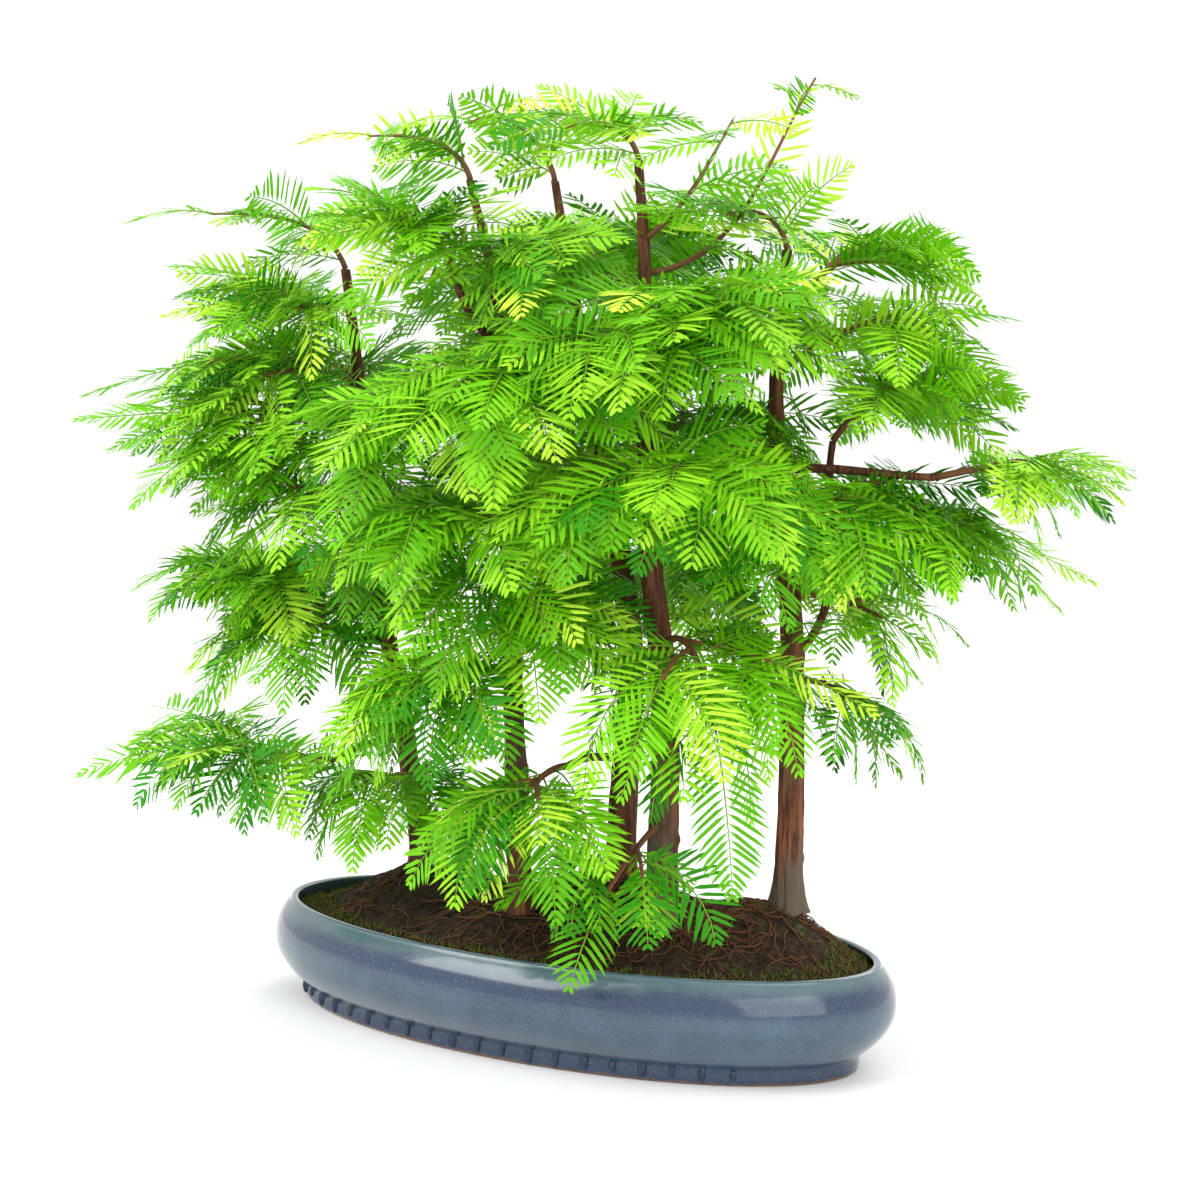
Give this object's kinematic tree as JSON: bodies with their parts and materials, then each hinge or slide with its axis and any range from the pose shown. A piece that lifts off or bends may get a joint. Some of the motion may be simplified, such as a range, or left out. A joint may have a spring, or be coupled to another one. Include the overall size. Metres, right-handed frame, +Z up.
{
  "type": "dawn redwood bonsai forest",
  "caption": "Young dawn redwood trees with feathery bright green foliage, planted as a small forest in a low oval blue-glazed pot.",
  "frame": {"origin": "centre of the pot's flat underside", "axes": "+X along the pot's long axis, +Y across the pot towards its rear, +Z up"},
  "size_m": [0.4389, 0.2607, 0.412],
  "materials": {
    "glaze": "glossy",
    "soil": "matte",
    "bark": "rough",
    "twig_bark": "rough",
    "needles": "satin"
  },
  "bodies": {
    "root": {"pot": "glaze", "soil": "soil", "tree_1_bough_low": "twig_bark", "tree_1_bough_middle": "twig_bark", "tree_1_crown": "needles", "tree_1_drape": "needles", "tree_1_front": "needles", "tree_1_long_left": "needles", "tree_1_low": "needles", "tree_1_low_front": "needles", "tree_1_middle": "needles", "tree_1_middle_hanging": "needles", "tree_1_rear_middle": "needles", "tree_1_rear_upper": "needles", "tree_1_side_left": "needles", "tree_1_trunk": "bark", "tree_1_upper_left": "needles", "tree_2_bough_upper": "twig_bark", "tree_2_crown": "needles", "tree_2_front": "needles", "tree_2_front_left": "needles", "tree_2_front_low": "needles", "tree_2_low": "needles", "tree_2_middle": "needles", "tree_2_side": "needles", "tree_2_trunk": "bark", "tree_2_upper_front": "needles", "tree_3_bough_low": "twig_bark", "tree_3_crown": "needles", "tree_3_front": "needles", "tree_3_low": "needles", "tree_3_rear": "needles", "tree_3_rear_left": "needles", "tree_3_rear_upper": "needles", "tree_3_trunk": "bark", "tree_3_upper": "needles", "tree_4_crown": "needles", "tree_4_front_middle": "needles", "tree_4_front_right": "needles", "tree_4_front_upper": "needles", "tree_4_leader": "needles", "tree_4_low": "needles", "tree_4_rear": "needles", "tree_4_right_low": "needles", "tree_4_right_upper": "needles", "tree_4_shoot": "needles", "tree_4_trunk": "bark", "tree_5_bough_long": "twig_bark", "tree_5_bough_rising": "twig_bark", "tree_5_crown": "needles", "tree_5_front_right": "needles", "tree_5_long": "needles", "tree_5_low_right": "needles", "tree_5_rear": "needles", "tree_5_right": "needles", "tree_5_right_middle": "needles", "tree_5_right_upper": "needles", "tree_5_side": "needles", "tree_5_top_right": "needles", "tree_5_trunk": "bark"}
  },
  "joints": []
}
